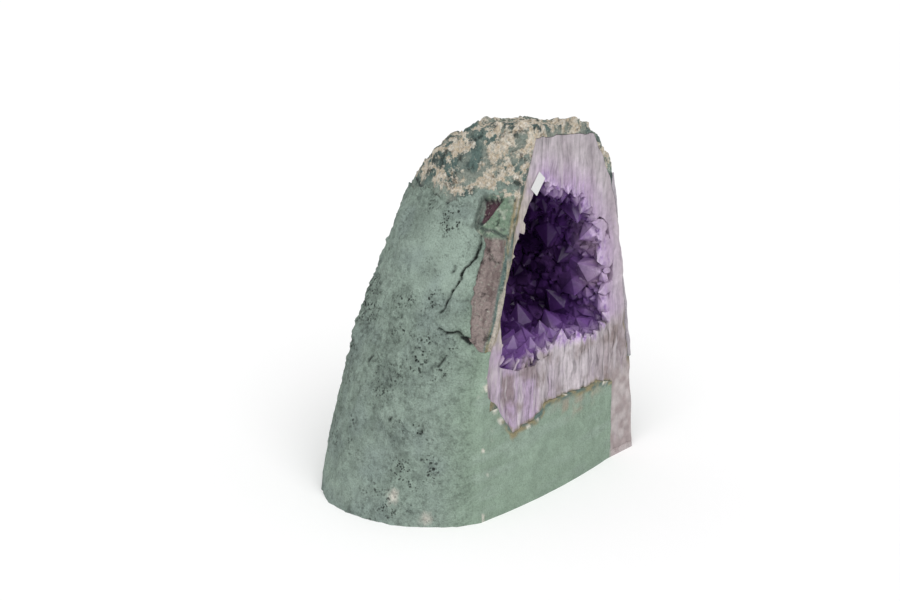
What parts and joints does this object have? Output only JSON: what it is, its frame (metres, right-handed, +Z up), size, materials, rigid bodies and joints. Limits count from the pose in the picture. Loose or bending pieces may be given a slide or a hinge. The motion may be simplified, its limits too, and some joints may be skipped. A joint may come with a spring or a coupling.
{
  "type": "amethyst geode",
  "caption": "Free-standing cut-base geode with a polished front that opens on a hollow lined with violet crystals.",
  "frame": {"origin": "middle of the bounding box of the whole stone, at the level of its flat base", "axes": "+Z up, +X to the right across the polished front, +Y from the polished front to the back"},
  "size_m": [0.2077, 0.1363, 0.2224],
  "materials": {
    "basalt": "rough broken rock, dark teal with tan crust and a reddish brown band",
    "amethyst": "polished pale lavender quartz band and glossy deep violet crystals",
    "cement": "matt grey-green mortar with pits and trowel marks",
    "paper": "matt white sticky label, blank"
  },
  "bodies": {
    "root": {"host_rock": "basalt", "crystal_crust": "amethyst", "cement_facing": "cement", "paper_label": "paper"}
  },
  "joints": []
}
